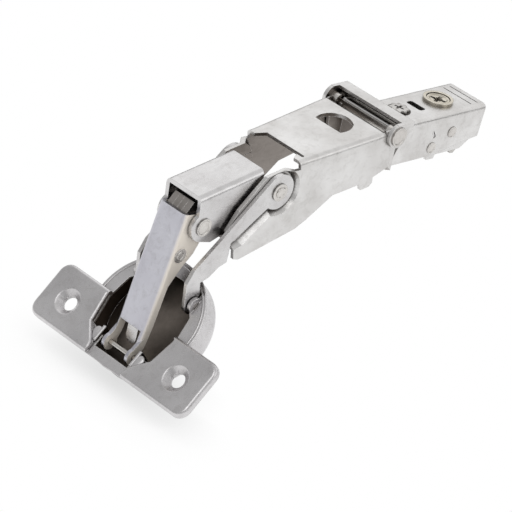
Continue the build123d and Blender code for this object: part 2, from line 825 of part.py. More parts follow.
# Rivets that close the rear channel on the clip base
with BuildPart() as rear_rivets:
    for sign in (-1, 1):
        for reach, radius in (
            (channel_half, rear_rivet_radius),
            (channel_half + 0.25, rear_rivet_radius + 0.5),
        ):
            start = base_half - arm_sheet if radius == rear_rivet_radius else channel_half
            with BuildSketch(rear_side(sign * start)):
                with Locations(rear_rivet_spot, upper_rivet_spot):
                    Circle(radius)
            extrude(amount=-sign * (reach - start))
rear_rivets.part.label = "rear_rivets"
export_step(rear_rivets.part, "parts/rear_rivets.step")

# Slide under the slot that the cam moves
slide_top = seat_height - 2 * arm_sheet - face_gap
with BuildPart() as depth_slide:
    with BuildSketch(Plane.XY.offset(slide_top)):
        with Locations((-13.0, 0)):
            RectangleRounded(14.0, 9.0, 1.5)
    extrude(amount=-1.0)
depth_slide.part.label = "depth_slide"
export_step(depth_slide.part, "parts/depth_slide.step")

# Release lever at the tail, on its own pin
lever_half = base_half - arm_sheet - 0.2
with BuildPart() as release_lever:
    with BuildSketch(rear_side()):
        with Locations(lever_pivot):
            Circle(2.0)
        Polygon(
            (lever_pivot[0] - 2.0, lever_pivot[1]),
            (5.2, 0.6),
            (4.1, -1.2),
            (4.6, -1.9),
            (5.8, -2.0),
            (6.9, -0.9),
            (8.0, 1.6),
            (11.0, 1.5),
            (12.4, 2.2),
            (12.5, 3.4),
            (11.4, 4.2),
            (lever_pivot[0] + 1.2, lever_pivot[1] + 2.0),
            align=None,
        )
    extrude(amount=lever_half, both=True)
    with BuildSketch(rear_side()):
        Polygon(
            (lever_pivot[0] - 6, -3),
            (lever_pivot[0] - 6, lever_pivot[1] + 4),
            (lever_pivot[0] + 0.2, lever_pivot[1] + 4),
            (lever_pivot[0] + 2.4, 4.4),
            (lever_pivot[0] + 1.2, -0.6),
            (lever_pivot[0] + 0.4, -3),
            align=None,
        )
    extrude(amount=lever_half - 1.0, both=True, mode=Mode.SUBTRACT)
    with BuildSketch(rear_side()):
        with Locations(lever_pivot):
            Circle(lever_pin_radius + running_fit)
    extrude(amount=lever_half, both=True, mode=Mode.SUBTRACT)
release_lever.part.label = "release_lever"
export_step(release_lever.part, "parts/release_lever.step")

with BuildPart() as release_pin:
    with BuildSketch(rear_side()):
        with Locations(lever_pivot):
            Circle(lever_pin_radius)
    extrude(amount=base_half, both=True)
release_pin.part.label = "release_pin"
export_step(release_pin.part, "parts/release_pin.step")

# Clamp screw with its raised collar
with BuildPart() as screw_collar:
    with BuildSketch(Plane.XY.offset(seat_height)):
        Circle(4.5)
        Circle(3.6, mode=Mode.SUBTRACT)
    extrude(amount=0.9)
screw_collar.part.label = "screw_collar"
export_step(screw_collar.part, "parts/screw_collar.step")

with BuildPart() as clamp_screw:
    with BuildSketch(Plane.XY.offset(seat_height - arm_sheet)):
        Circle(3.5)
    extrude(amount=arm_sheet + 0.7)
    with BuildSketch(Plane.XY.offset(seat_height - arm_sheet)):
        Circle(2.9)
    extrude(amount=-seat_height + arm_sheet + 1.5)
    with BuildSketch(Plane.XY.offset(seat_height + 0.7)):
        Rectangle(4.4, 1.1)
        Rectangle(1.1, 4.4)
        Rectangle(3.0, 0.5, rotation=45)
        Rectangle(0.5, 3.0, rotation=45)
    extrude(amount=-1.6, mode=Mode.SUBTRACT)
clamp_screw.part.label = "clamp_screw"
export_step(clamp_screw.part, "parts/clamp_screw.step")

# Lobed cam that sets the depth
with BuildPart() as depth_cam:
    with BuildSketch(Plane.XY.offset(seat_height + face_gap)):
        with Locations((cam_x, 0)):
            Circle(2.5)
            with PolarLocations(2.4, 6):
                Circle(0.75)
            with PolarLocations(1.0, 6):
                Rectangle(1.2, 0.7, mode=Mode.SUBTRACT)
    extrude(amount=0.8)
    with BuildSketch(Plane.XY.offset(seat_height + face_gap)):
        with Locations((cam_x, 0)):
            Circle(2.2)
    extrude(amount=-arm_sheet - face_gap)
    with BuildSketch(Plane.XY.offset(seat_height - arm_sheet)):
        with Locations((cam_x, 0)):
            Circle(1.9)
    extrude(amount=-arm_sheet - face_gap)
depth_cam.part.label = "depth_cam"
export_step(depth_cam.part, "parts/depth_cam.step")

# Cross bracket over the arm's rear end, with an ear on each tilt rivet
bracket_half = arm_rear_width / 2 + face_gap + arm_sheet
bar_front = 1.4
bar_rear = 5.6
bar_top = 3.6
trough_half = ear_half - arm_sheet - side_gap
with BuildPart() as cross_bracket:
    for sign in (-1, 1):
        with BuildSketch(rear_side(sign * (bracket_half - arm_sheet))):
            with Locations((tilt_x, tilt_z)):
                Circle(3.6)
            Polygon(
                (tilt_x - 2.4, tilt_z),
                (tilt_x - 1.0, tilt_z + 3.6),
                (tilt_x + 5.6, tilt_z + 3.6),
                (tilt_x + 3.4, tilt_z - 1),
                align=None,
            )
            with Locations((tilt_x, tilt_z)):
                Circle(tilt_rivet_radius, mode=Mode.SUBTRACT)
        extrude(amount=-sign * arm_sheet)
    with BuildSketch(rear_side()):
        Polygon(
            (tilt_x + bar_front, tilt_z + bar_top),
            (tilt_x + bar_rear, tilt_z + bar_top),
            (tilt_x + bar_rear - 0.5, tilt_z + 0.4),
            (tilt_x + bar_rear - 1.5, tilt_z + 0.4),
            (tilt_x + bar_rear - 1.1, tilt_z + bar_top - 1.0),
            (tilt_x + bar_front, tilt_z + bar_top - 1.0),
            align=None,
        )
    extrude(amount=bracket_half, both=True)
    # Trough under the bar, between the ears
    with BuildSketch(rear_side()):
        Polygon(
            (tilt_x + bar_rear - 0.4, tilt_z + 0.8),
            (tilt_x + bar_rear - 0.6, tilt_z - 1.6),
            (tilt_x - 1.2, tilt_z - 2.6),
            (tilt_x - 1.2, tilt_z - 1.7),
            (tilt_x + bar_rear - 1.6, tilt_z - 0.7),
            (tilt_x + bar_rear - 1.5, tilt_z + 0.8),
            align=None,
        )
        with Locations((tilt_x + 1.0, tilt_z + 0.6)):
            Circle(0.55)
    extrude(amount=trough_half, both=True)
    for sign in (-1, 1):
        with BuildSketch(rear_side(sign * trough_half)):
            Polygon(
                (tilt_x + bar_rear - 0.6, tilt_z - 1.6),
                (tilt_x + bar_rear - 0.4, tilt_z + 0.8),
                (tilt_x + 1.0, tilt_z + 1.3),
                (tilt_x - 0.6, tilt_z - 0.2),
                (tilt_x - 1.2, tilt_z - 2.6),
                align=None,
            )
        extrude(amount=sign * 0.9)
cross_bracket.part.label = "cross_bracket"
export_step(cross_bracket.part, "parts/cross_bracket.step")

# Tilt rivets
with BuildPart() as tilt_rivets:
    for sign in (-1, 1):
        with BuildSketch(rear_side(sign * (ear_half - arm_sheet))):
            with Locations((tilt_x, tilt_z)):
                Circle(tilt_rivet_radius)
        extrude(amount=-sign * (bracket_half - ear_half + arm_sheet))
        with BuildSketch(rear_side(sign * bracket_half)):
            with Locations((tilt_x, tilt_z)):
                Circle(tilt_rivet_radius + 0.8)
        extrude(amount=-sign * 0.5)
tilt_rivets.part.label = "tilt_rivets"
export_step(tilt_rivets.part, "parts/tilt_rivets.step")
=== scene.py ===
import bpy
import json
import math
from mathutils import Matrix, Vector

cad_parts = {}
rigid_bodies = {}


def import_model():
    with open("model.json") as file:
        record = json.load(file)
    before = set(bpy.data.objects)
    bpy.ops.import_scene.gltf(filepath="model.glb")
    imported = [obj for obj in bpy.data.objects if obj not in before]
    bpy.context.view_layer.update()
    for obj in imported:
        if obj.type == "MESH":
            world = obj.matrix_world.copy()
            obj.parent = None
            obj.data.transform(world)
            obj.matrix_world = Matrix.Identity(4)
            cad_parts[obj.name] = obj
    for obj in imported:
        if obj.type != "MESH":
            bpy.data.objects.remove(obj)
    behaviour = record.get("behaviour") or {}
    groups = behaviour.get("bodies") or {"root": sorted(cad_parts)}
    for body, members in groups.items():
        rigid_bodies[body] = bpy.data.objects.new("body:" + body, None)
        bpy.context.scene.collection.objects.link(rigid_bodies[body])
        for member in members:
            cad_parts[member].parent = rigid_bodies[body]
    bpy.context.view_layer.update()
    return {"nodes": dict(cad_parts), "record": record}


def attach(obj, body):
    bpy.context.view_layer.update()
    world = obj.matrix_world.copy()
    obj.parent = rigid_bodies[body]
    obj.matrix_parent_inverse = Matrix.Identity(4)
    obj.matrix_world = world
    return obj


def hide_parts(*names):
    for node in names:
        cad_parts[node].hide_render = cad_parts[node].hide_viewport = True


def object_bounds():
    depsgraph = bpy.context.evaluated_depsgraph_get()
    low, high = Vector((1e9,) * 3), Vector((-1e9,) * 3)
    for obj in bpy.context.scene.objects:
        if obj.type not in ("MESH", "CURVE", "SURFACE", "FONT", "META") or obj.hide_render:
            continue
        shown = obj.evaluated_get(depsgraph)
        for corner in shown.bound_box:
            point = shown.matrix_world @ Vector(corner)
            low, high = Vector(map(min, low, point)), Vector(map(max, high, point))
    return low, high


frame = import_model()
nodes = frame["nodes"]
print("frame loaded:", len(nodes), "nodes")

scene = bpy.context.scene
for leftOver in list(bpy.data.objects):
    if leftOver.type in {"CAMERA", "LIGHT"}:
        bpy.data.objects.remove(leftOver)
scene.view_settings.view_transform = "Standard"
bpy.ops.object.select_all(action="DESELECT")


def paint(hexColour):
    # sRGB hex, as picked from a swatch, turned to the linear value that shaders want
    parts = [int(hexColour[i:i + 2], 16) / 255 for i in (1, 3, 5)]
    linear = [p / 12.92 if p <= 0.04045 else ((p + 0.055) / 1.055) ** 2.4 for p in parts]
    return (*linear, 1.0)


def addNode(tree, kind, settings=None, links=None):
    # settings: attribute or socket values; links: input socket from output socket
    made = tree.nodes.new(kind)
    for name, value in (settings or {}).items():
        if isinstance(name, str) and hasattr(made, name):
            setattr(made, name, value)
        else:
            made.inputs[name].default_value = value
    for name, source in (links or {}).items():
        tree.links.new(source, made.inputs[name])
    return made


# the photograph's view: a long lens from the front left, a little above
cameraSetup = {
    "place": (-0.673818, -0.525120, 0.385871),
    "turn": (62.48217, -11.07986, -43.57162),
    "lens": 226.827, "sensor": 36, "near": 0.05, "far": 60,
}
bpy.ops.object.camera_add(location=cameraSetup["place"])
photoCamera = bpy.context.object
photoCamera.name = "photoCamera"
photoCamera.rotation_euler = [math.radians(a) for a in cameraSetup["turn"]]
photoCamera.data.lens = cameraSetup["lens"]
photoCamera.data.sensor_width = cameraSetup["sensor"]
photoCamera.data.clip_start = cameraSetup["near"]
photoCamera.data.clip_end = cameraSetup["far"]
scene.camera = photoCamera
print("camera set")


# One maker serves all the metals, which differ in how the sheet or bar was worked.
def platedSteel(name, finish):
    made = bpy.data.materials.new(name)
    made.use_nodes = True
    tree = made.node_tree
    tree.nodes.clear()
    spot = addNode(tree, "ShaderNodeTexCoord")
    place = spot.outputs["Object"]
    # rolled or brushed grain: fine lines along the sheet
    stretch = addNode(tree, "ShaderNodeMapping", {"Scale": finish["grainStretch"]},
                      {"Vector": place})
    grain = addNode(tree, "ShaderNodeTexNoise", {
        "Scale": finish["grainScale"], "Detail": 5.0, "Roughness": 0.62,
    }, {"Vector": stretch.outputs["Vector"]})
    # tumbling in a barrel leaves soft clouds about a centimetre wide
    clouds = addNode(tree, "ShaderNodeTexNoise", {
        "Scale": finish["cloudScale"], "Detail": 3.0, "Roughness": 0.55,
    }, {"Vector": place})
    # short handling marks, distorted so that they don't line up
    marks = addNode(tree, "ShaderNodeTexNoise", {
        "Scale": finish["markScale"], "Detail": 8.0, "Roughness": 0.75, "Distortion": 0.6,
    }, {"Vector": place})
    tint = addNode(tree, "ShaderNodeValToRGB", None, {"Fac": clouds.outputs["Fac"]})
    speck = addNode(tree, "ShaderNodeValToRGB", None, {"Fac": marks.outputs["Fac"]})
    # painted shade: the colour darkens where pieces meet and in corners, by ambient occlusion
    cornerShade = addNode(tree, "ShaderNodeAmbientOcclusion", {
        "samples": 4, "Distance": finish["cornerShadeReach"]})
    paintedCornerShade = addNode(tree, "ShaderNodeValToRGB", None, {"Fac": cornerShade.outputs["AO"]})
    for ramp, stops in (
            (tint, ((0.32, finish["deep"]), (0.68, finish["bright"]))),
            (speck, ((0.33, finish["mark"]), (0.50, "#ffffff"))),
            (paintedCornerShade, ((0.10, finish["cornerShade"]), (0.80, "#ffffff")))):
        for stop, (at, shade) in zip(ramp.color_ramp.elements, stops):
            stop.position = at
            stop.color = paint(shade)
    marked = addNode(tree, "ShaderNodeMix", {
        "data_type": "RGBA", "blend_type": "MULTIPLY", 0: finish["markStrength"],
    }, {6: tint.outputs["Color"], 7: speck.outputs["Color"]})
    shaded = addNode(tree, "ShaderNodeMix", {
        "data_type": "RGBA", "blend_type": "MULTIPLY", 0: finish["cornerShadeStrength"],
    }, {6: marked.outputs[2], 7: paintedCornerShade.outputs["Color"]})
    # painted shade: faces turned in towards the middle of a folded sheet, and faces turned down,
    # are painted darker and warmer
    facing = addNode(tree, "ShaderNodeSeparateXYZ", None, {"Vector": spot.outputs["Normal"]})
    where = addNode(tree, "ShaderNodeSeparateXYZ", None, {"Vector": place})
    inward = addNode(tree, "ShaderNodeMath", {"operation": "MULTIPLY"}, {
        0: facing.outputs["Y"], 1: where.outputs["Y"]})
    innerWalls = addNode(tree, "ShaderNodeMapRange", {
        "From Min": -0.0008, "From Max": -0.0026}, {"Value": inward.outputs["Value"]})
    ceiling = addNode(tree, "ShaderNodeMapRange", {
        "From Min": -0.35, "From Max": -0.75}, {"Value": facing.outputs["Z"]})
    inner = addNode(tree, "ShaderNodeMath", {"operation": "MAXIMUM"}, {
        0: innerWalls.outputs["Result"], 1: ceiling.outputs["Result"]})
    innerShadeShare = addNode(tree, "ShaderNodeMath", {
        "operation": "MULTIPLY", 1: finish["innerShadeShare"]}, {0: inner.outputs["Value"]})
    innerShaded = addNode(tree, "ShaderNodeMix", {
        "data_type": "RGBA", "blend_type": "MULTIPLY", 7: paint(finish["inner"]),
    }, {0: innerShadeShare.outputs["Value"], 6: shaded.outputs[2]})
    gloss = addNode(tree, "ShaderNodeMapRange", {
        "From Min": 0.25, "From Max": 0.75, "To Min": finish["smooth"], "To Max": finish["rough"],
    }, {"Value": grain.outputs["Fac"]})
    relief = addNode(tree, "ShaderNodeBump", {
        "Strength": finish["reliefStrength"], "Distance": finish["reliefDepth"],
    }, {"Height": grain.outputs["Fac"]})
    # the press leaves very shallow hollows in the sheet, which break up reflections
    waves = addNode(tree, "ShaderNodeTexNoise", {
        "Scale": finish["waveScale"], "Detail": 1.0, "Roughness": 0.4,
    }, {"Vector": place})
    swell = addNode(tree, "ShaderNodeBump", {
        "Strength": finish["waveStrength"], "Distance": finish["waveDepth"],
    }, {"Height": waves.outputs["Fac"], "Normal": relief.outputs["Normal"]})
    # sheared and broken edges are never knife sharp, so light catches them
    edge = addNode(tree, "ShaderNodeBevel", {"samples": 4, "Radius": finish["edgeRadius"]},
                   {"Normal": swell.outputs["Normal"]})
    # painted highlight: the edges' colour is lightened towards the edge colour; handling also
    # leaves them smoother than the flats
    flat = addNode(tree, "ShaderNodeNewGeometry")
    turned = addNode(tree, "ShaderNodeVectorMath", {"operation": "DOT_PRODUCT"}, {
        0: edge.outputs["Normal"], 1: flat.outputs["Normal"]})
    edgeWearAndHighlight = addNode(tree, "ShaderNodeMapRange", {
        "From Min": 0.985, "From Max": 0.80, "To Max": finish["edgeHighlightShare"],
    }, {"Value": turned.outputs["Value"]})
    edgeHighlighted = addNode(tree, "ShaderNodeMix", {
        "data_type": "RGBA", 7: paint(finish["edge"]),
    }, {0: edgeWearAndHighlight.outputs["Result"], 6: innerShaded.outputs[2]})
    smoothed = addNode(tree, "ShaderNodeMix", {
        "data_type": "FLOAT", 3: finish["edgeSmooth"],
    }, {0: edgeWearAndHighlight.outputs["Result"], 2: gloss.outputs["Result"]})
    surface = {"Base Color": edgeHighlighted.outputs[2], "Roughness": smoothed.outputs[0],
               "Normal": edge.outputs["Normal"]}
    if "cheek" in finish:
        # painted reflection: the cheeks are painted warmer and paler than the web, and made less
        # metallic so that they scatter the lamps' light
        sideways = addNode(tree, "ShaderNodeMath", {"operation": "ABSOLUTE"}, {
            0: facing.outputs["Y"]})
        cheekMetalLevel = addNode(tree, "ShaderNodeMapRange", {
            "From Min": 0.60, "From Max": 0.97, "To Min": 1.0, "To Max": finish["cheekMetal"],
        }, {"Value": sideways.outputs["Value"]})
        cheekReflectionShare = addNode(tree, "ShaderNodeMapRange", {"From Min": 0.60, "From Max": 0.97},
                         {"Value": sideways.outputs["Value"]})
        cheekReflectionColour = addNode(tree, "ShaderNodeMix", {
            "data_type": "RGBA", 7: paint(finish["cheek"]),
        }, {0: cheekReflectionShare.outputs["Result"], 6: edgeHighlighted.outputs[2]})
        surface["Base Color"] = cheekReflectionColour.outputs[2]
        surface["Metallic"] = cheekMetalLevel.outputs["Result"]
    metal = addNode(tree, "ShaderNodeBsdfPrincipled", {"Metallic": 1.0}, surface)
    addNode(tree, "ShaderNodeOutputMaterial", None, {"Surface": metal.outputs["BSDF"]})
    return made


# Noise scales: the meshes are in metres, so scale n puts features about 1000 / n mm apart.
# 1400 is 0.7 mm grain; the real rolling lines are some 0.02 mm and would not show, so they are
# drawn as coarse as they need to be. 90 is 11 mm clouds, 420 is 2.4 mm marks, and 70 is 14 mm
# waves, about as far apart as the folds that cause them. Depths and radii are in metres.

# Satin nickel on cold rolled strip, barrelled after pressing. It gives pale, slightly warm metal
# whose soft reflections are drawn out along the rolling direction.
satinNickel = {
    "bright": "#e4e3e2", "deep": "#d0cecc", "smooth": 0.26, "rough": 0.40,
    "grainStretch": (0.12, 1.0, 1.0), "grainScale": 1400, "cloudScale": 90,
    "mark": "#b9b6b1", "markScale": 420, "markStrength": 0.26,
    "cornerShade": "#4a423b", "cornerShadeReach": 0.004, "cornerShadeStrength": 0.75,
    "reliefStrength": 0.22, "reliefDepth": 0.0001,
    "waveScale": 70, "waveStrength": 0.10, "waveDepth": 0.0012,
    "inner": "#8a8078", "innerShadeShare": 0.85,
    "edge": "#f6f4f2", "edgeRadius": 0.00018, "edgeHighlightShare": 0.7, "edgeSmooth": 0.16,
}
# The cup is nickel over deep-drawn steel. Stretching takes the rolling direction away and leaves
# it greyer, finely dimpled (0.5 mm) and wavier, with a stronger painted highlight on its edges and
# deeper painted shade in its corners.
drawnNickel = dict(satinNickel, bright="#dad8d9", deep="#cbc9ca", smooth=0.24, rough=0.36,
                   cloudScale=60, waveStrength=0.16, cornerShadeReach=0.007, cornerShade="#38302a",
                   cornerShadeStrength=0.9, grainStretch=(1.0, 1.0, 1.0), grainScale=2200,
                   innerShadeShare=0.0, edgeRadius=0.0003, edgeHighlightShare=0.9)
# Links are stamped from thicker strip and tumbled on all sides: a tone greyer and a little
# smoother, with only light painted shade on their inner faces.
stampedNickel = dict(satinNickel, bright="#dcdbdb", deep="#cdcbcb", smooth=0.22, rough=0.36,
                     innerShadeShare=0.25)
# The channel link's web is bright nickel, bluish beside the rest. Its cheeks carry a painted
# reflection: warm, pale colour and less metal, so that they scatter the lamps' light.
coolNickel = dict(satinNickel, bright="#cacad1", deep="#bfbec6", smooth=0.26, rough=0.38,
                  cornerShadeStrength=0.5, markStrength=0.3, cheek="#f4ece1", cheekMetal=0.22)
# The stacked plates show their sheared edges: darker bare steel, torn in 1.1 mm streaks across
# the cut, and rough.
sheetEdges = dict(satinNickel, bright="#b3aeaa", deep="#8c8782", smooth=0.30, rough=0.48,
                  grainStretch=(1.0, 0.08, 1.0), grainScale=900, reliefStrength=0.3)
# Pins and rivets are turned steel: smooth, with fine 0.4 mm tool marks and crisp reflections.
turnedSteel = dict(satinNickel, bright="#dddad6", deep="#c4c0bc", smooth=0.16, rough=0.30,
                   grainScale=2600, waveStrength=0.05)
# The clamp screw is cold headed and nickel plated over a yellowish base: smooth and warm, with
# strong painted shade down in its recess.
headedScrew = dict(satinNickel, bright="#e2dccf", deep="#c6bfb0", smooth=0.14, rough=0.28,
                   grainStretch=(1, 1, 1), cornerShade="#2b2420", cornerShadeStrength=0.95, cornerShadeReach=0.003)
# Inside the cup the drawn steel is unpolished and wavy, and painted dark and warm as shade in the
# hollow.
cupInside = dict(satinNickel, bright="#938a82", deep="#6b635c", smooth=0.30, rough=0.46,
                 grainStretch=(1, 1, 1), grainScale=1200, waveStrength=0.25, cornerShade="#2a231f",
                 cornerShadeStrength=0.8, cornerShadeReach=0.005)
# Painted shade for the gap round the cam: nearly black with a dull shine.
camGapShade = dict(cupInside, bright="#4b4540", deep="#2e2a27", smooth=0.35, rough=0.5,
                  edgeHighlightShare=0.1)
# Cam and lever are tumbled zinc die castings: pale grey and matt, with a 1.2 mm pebbled skin.
zincCast = dict(satinNickel, bright="#d8d6d3", deep="#bab7b3", smooth=0.28, rough=0.44,
                grainStretch=(1, 1, 1), grainScale=800, reliefStrength=0.2)

finishes = {name: platedSteel(name, finish) for name, finish in {
    "satinNickelStrip": satinNickel, "deepDrawnNickel": drawnNickel,
    "stampedNickelLink": stampedNickel, "coolNickelWeb": coolNickel,
    "shearedPlateStack": sheetEdges, "turnedSteelPin": turnedSteel,
    "headedNickelScrew": headedScrew, "zincDieCast": zincCast,
    "shadedCupInside": cupInside, "camGapShadeFinish": camGapShade,
}.items()}
wears = {
    "rear_channel": "satinNickelStrip", "clip_base": "satinNickelStrip",
    "screw_collar": "headedNickelScrew", "cross_bracket": "satinNickelStrip",
    "depth_slide": "shearedPlateStack", "release_pin": "turnedSteelPin",
    "clamp_screw": "headedNickelScrew", "depth_cam": "zincDieCast",
    "release_lever": "zincDieCast", "hinge_arm": "satinNickelStrip",
    "inner_fork": "shearedPlateStack", "inner_pin": "turnedSteelPin",
    "blade_left": "stampedNickelLink", "blade_right": "stampedNickelLink",
    "front_cup_pin": "turnedSteelPin", "channel_link": "coolNickelWeb",
    "closing_tongue": "stampedNickelLink", "box_link": "stampedNickelLink",
    "inner_plate_1": "shearedPlateStack", "inner_plate_2": "shearedPlateStack",
    "inner_plate_3": "shearedPlateStack", "inner_plate_4": "shearedPlateStack",
}


def giveFinish(made, finish):
    made.data.materials.clear()
    made.data.materials.append(finishes[finish])


for node, finish in wears.items():
    giveFinish(nodes[node], finish)
print("finishes given to", len(wears), "nodes")


def deselectAll():
    bpy.ops.object.select_all(action="DESELECT")


def pickOnly(made):
    deselectAll()
    made.select_set(True)
    bpy.context.view_layer.objects.active = made


# Shapes that the plain solids only hint at are finished on copies with their vertices merged.
def joinedCopy(node, name, finish):
    mesh = nodes[node].data.copy()
    mesh.name = name
    made = bpy.data.objects.new(name, mesh)
    scene.collection.objects.link(made)
    giveFinish(made, finish)
    pickOnly(made)
    bpy.ops.object.mode_set(mode="EDIT")
    bpy.ops.mesh.select_all(action="SELECT")
    bpy.ops.mesh.remove_doubles(threshold=1e-6)
    bpy.ops.mesh.dissolve_limited(angle_limit=math.radians(0.8))
    bpy.ops.mesh.select_all(action="DESELECT")
    bpy.ops.object.mode_set(mode="OBJECT")
    return made


def evenLight(made):
    # large flats keep their own direction beside the small rounded faces
    pickOnly(made)
    bpy.ops.object.shade_smooth_by_angle(angle=math.radians(32))
    weights = made.modifiers.new("evenLight", "WEIGHTED_NORMAL")
    weights.keep_sharp = True
    weights.weight = 70
    bpy.ops.object.modifier_apply(modifier="evenLight")


def roundEdges(made, chosen, width, steps):
    # chosen says of an edge's two ends whether the edge gets rounded
    pickOnly(made)
    bpy.ops.object.mode_set(mode="EDIT")
    bpy.ops.mesh.select_mode(type="EDGE")
    bpy.ops.mesh.select_all(action="DESELECT")
    bpy.ops.object.mode_set(mode="OBJECT")
    count = 0
    for edge in made.data.edges:
        first, second = (made.data.vertices[i].co for i in edge.vertices)
        if chosen(first, second):
            edge.select = True
            count += 1
    bpy.ops.object.mode_set(mode="EDIT")
    bpy.ops.mesh.bevel(offset=width, segments=steps, affect="EDGES", clamp_overlap=False)
    bpy.ops.mesh.select_all(action="DESELECT")
    bpy.ops.object.mode_set(mode="OBJECT")
    return count


def roundAll(made, width, steps):
    pickOnly(made)
    bpy.ops.object.mode_set(mode="EDIT")
    bpy.ops.mesh.select_all(action="SELECT")
    bpy.ops.mesh.bevel(offset=width, segments=steps, affect="EDGES")
    bpy.ops.object.mode_set(mode="OBJECT")


def carve(made, cutter):
    pickOnly(made)
    cut = made.modifiers.new("carve", "BOOLEAN")
    cut.operation = "DIFFERENCE"
    cut.solver = "EXACT"
    cut.object = cutter
    bpy.ops.object.modifier_apply(modifier="carve")
    bpy.data.objects.remove(cutter)


def joinInto(kept, others):
    deselectAll()
    for part in (*others, kept):
        part.select_set(True)
    bpy.context.view_layer.objects.active = kept
    bpy.ops.object.join()


def settle(made):
    # the place goes into the mesh, as with the CAD nodes
    pickOnly(made)
    bpy.ops.object.transform_apply(location=True, rotation=True, scale=True)
    bpy.ops.object.shade_smooth_by_angle(angle=math.radians(32))


def topFaces(made, level):
    # selects the flat faces at one height and stays in edit mode
    bpy.ops.object.mode_set(mode="EDIT")
    bpy.ops.mesh.select_mode(type="FACE")
    bpy.ops.mesh.select_all(action="DESELECT")
    bpy.ops.object.mode_set(mode="OBJECT")
    for face in made.data.polygons:
        height = (made.matrix_world @ face.center).z
        face.select = abs(height - level) < 1e-5 and face.normal.z > 0.9
    bpy.ops.object.mode_set(mode="EDIT")


# The drawn cup: its wings roll down into the opening and to the bridge in front of it.
cupScrews = next(m for m in frame["record"]["mounts"] if m["name"] == "cup_screws")
cupUp = Vector(cupScrews["axis"]).normalized()
cupAlong = Vector((cupUp.z, 0, -cupUp.x))
cupForm = {  # millimetres along, across and up from the wings' top face; rounds in metres
    "sheet": 0.002, "shoulder": [(-7.6, 7.4), (-5.3, 7.4), (-0.4, 12.0), (8.2, 13.6), (8.5, 13.54)],
    "shoulderRound": 0.0008, "rimCentre": 9.5, "rimRadius": 18.2, "rimLevel": -1.5,
    "rimRound": 0.0003, "lugLevel": -0.4, "lugHalf": 8.3, "lugRound": 0.0004,
    "bridgePlace": -8.5, "bridgeReach": 0.3, "bridgeHalf": 7.5,
    "dimplePlace": 22.5, "dimpleReach": 5.2, "dimpleEdge": 1.2, "dimpleRound": 0.00022,
    "insideTop": -2.25, "insideRadius": 16.9, "insideFloor": 0.5,
    "near": 0.02, "nearCurve": 0.03,  # how far off its line an edge's end may lie
}
cupOrigin = Vector(cupScrews["pos_m"]) + cupUp * cupForm["sheet"]


def cupPoint(along, side, up):
    return (cupOrigin + cupAlong * (along / 1000) + Vector((0, side / 1000, 0))
            + cupUp * (up / 1000))


def inCup(point):
    away = point - cupOrigin
    return Vector((away.dot(cupAlong), away.y, away.dot(cupUp))) * 1000


def nearLine(point, corners, reach):
    flat = Vector((point.x, abs(point.y)))
    for a, b in zip(corners, corners[1:]):
        start, run = Vector(a), Vector(b) - Vector(a)
        t = max(0, min(1, (flat - start).dot(run) / run.length_squared))
        if (start + run * t - flat).length < reach:
            return True
    return False


def onShoulder(first, second):
    return all(abs(p.z) < cupForm["near"]
               and nearLine(p, cupForm["shoulder"], cupForm["nearCurve"])
               for p in (inCup(first), inCup(second)))


def onRim(first, second):
    middle = Vector((cupForm["rimCentre"], 0))
    return all(abs(p.z - cupForm["rimLevel"]) < cupForm["near"]
               and abs((p.xy - middle).length - cupForm["rimRadius"]) < cupForm["nearCurve"]
               for p in (inCup(first), inCup(second)))


def onDimple(first, second):
    a, b = inCup(first), inCup(second)
    return (a - b).length < cupForm["dimpleEdge"] and all(
        abs(p.z) < cupForm["near"]
        and Vector((p.x, abs(p.y) - cupForm["dimplePlace"])).length < cupForm["dimpleReach"]
        for p in (a, b))


def onLug(first, second):
    return all(abs(p.z - cupForm["lugLevel"]) < cupForm["near"] and abs(p.y) < cupForm["lugHalf"]
               for p in (inCup(first), inCup(second)))


def onBridge(first, second):
    return all(abs(p.z - cupForm["rimLevel"]) < cupForm["near"]
               and abs(p.x - cupForm["bridgePlace"]) < cupForm["bridgeReach"]
               and abs(p.y) < cupForm["bridgeHalf"] for p in (inCup(first), inCup(second)))


drawnCup = joinedCopy("hinge_cup", "drawnCup", "deepDrawnNickel")
print("lug edges", roundEdges(drawnCup, onLug, cupForm["lugRound"], 4))
print("bridge edges", roundEdges(drawnCup, onBridge, cupForm["rimRound"], 3))
print("shoulder edges", roundEdges(drawnCup, onShoulder, cupForm["shoulderRound"], 5))
print("rim edges", roundEdges(drawnCup, onRim, cupForm["rimRound"], 3))
print("dimple edges", roundEdges(drawnCup, onDimple, cupForm["dimpleRound"], 3))
evenLight(drawnCup)
# the cup's inner faces get the dark inside finish: painted shade of the hollow
drawnCup.data.materials.append(finishes["shadedCupInside"])
for face in drawnCup.data.polygons:
    spot = inCup(face.center)
    inward = Vector((cupForm["rimCentre"] - spot.x, -spot.y, 0))
    turned = Vector((face.normal.dot(cupAlong), face.normal.y, 0))
    isFloor = face.normal.dot(cupUp) > cupForm["insideFloor"]
    if (spot.z < cupForm["insideTop"] and inward.length < cupForm["insideRadius"]
            and (isFloor or turned.dot(inward) > 0)):
        face.material_index = 1
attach(drawnCup, "cup")
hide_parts("hinge_cup")
print("cup rounded")

